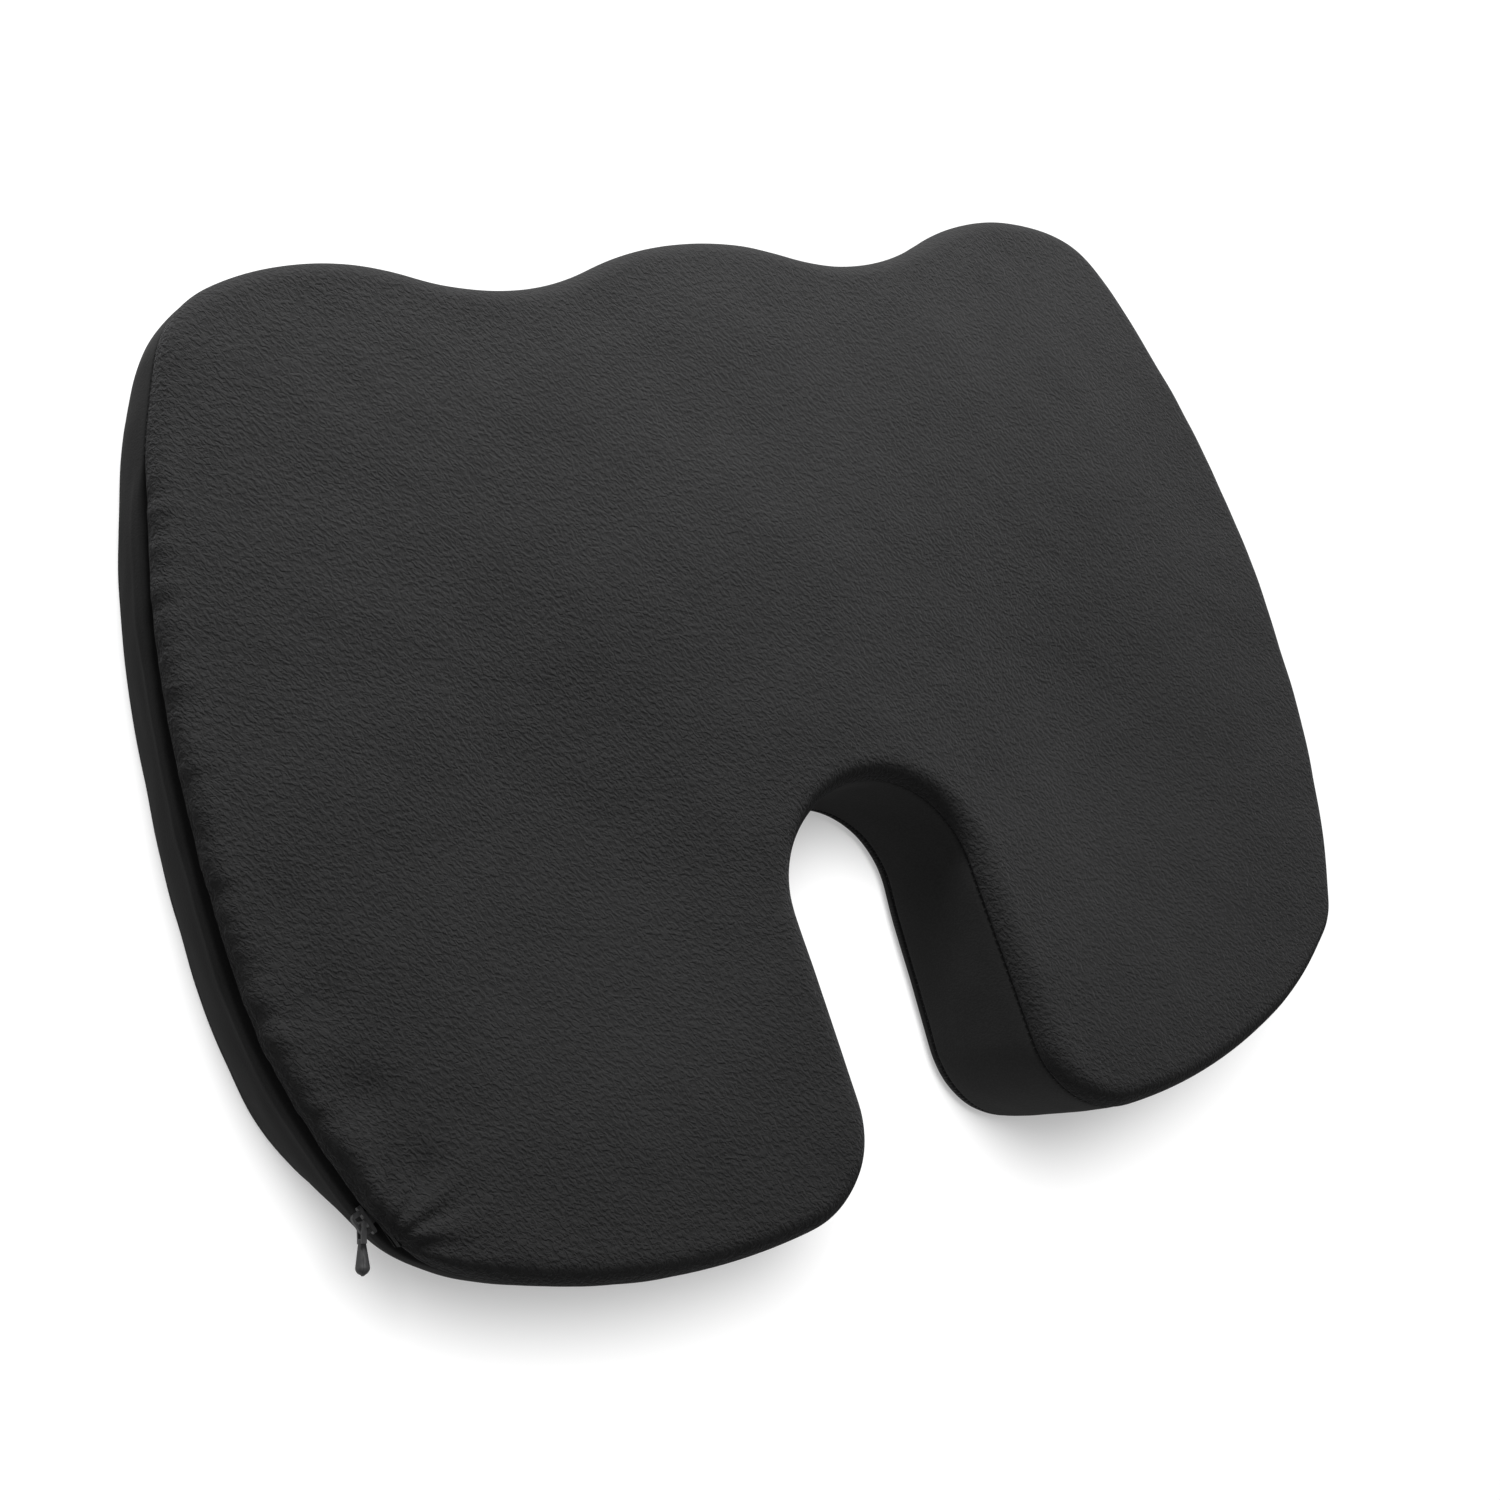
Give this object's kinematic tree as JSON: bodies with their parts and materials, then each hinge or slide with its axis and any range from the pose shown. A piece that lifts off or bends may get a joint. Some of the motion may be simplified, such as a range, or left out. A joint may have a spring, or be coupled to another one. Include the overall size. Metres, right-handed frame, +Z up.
{
  "type": "seat cushion",
  "caption": "U-shaped foam seat cushion with a tailbone notch, a wavy knee edge, a velour zip-off cover and a side zip with a hanging pull tab.",
  "frame": {"origin": "centre of the bounding box's footprint, on the floor under the cushion", "axes": "+Z up out of the seat face, +Y towards the wavy knee edge, -Y towards the open end of the tailbone notch, -X the zip side"},
  "size_m": [0.4496, 0.3436, 0.0744],
  "materials": {
    "velour": "short pile, soft sheen",
    "base_fabric": "plain woven",
    "silicone": "satin",
    "foam": "open cell, matte",
    "liner": "thin knit",
    "thread": "twisted thread",
    "tape": "herringbone weave",
    "coil": "nylon",
    "zip_metal": "satin lacquer",
    "pull": "satin lacquer"
  },
  "bodies": {
    "cushion": {"foam_core": "foam", "core_liner": "liner", "cover_top_panel": "velour", "side_band_zip_side": "velour", "side_band_right": "velour", "side_band_notch": "velour", "cover_base_panel": "base_fabric", "grip_print": "silicone", "top_seam_thread": "thread", "base_seam_thread": "thread", "zip_tape_upper": "tape", "zip_tape_lower": "tape", "zip_coil_upper": "coil", "zip_coil_lower": "coil", "zip_closed_stop": "zip_metal", "zip_open_stop": "zip_metal"},
    "slider": {"zip_slider": "zip_metal"},
    "pull": {"zip_pull": "pull"}
  },
  "joints": [
    {"name": "zip_travel", "type": "hinge", "parent": "cushion", "child": "slider", "pos_m": [0.16686, 0.00082, 0.05044], "axis": [0, -0.0698, -0.9976], "range_deg": [0, 31.5]},
    {"name": "pull_swing", "type": "hinge", "parent": "slider", "child": "pull", "pos_m": [-0.20498, -0.12258, 0.05908], "axis": [0, -0.0698, -0.9976], "range_deg": [-24, 138]}
  ]
}
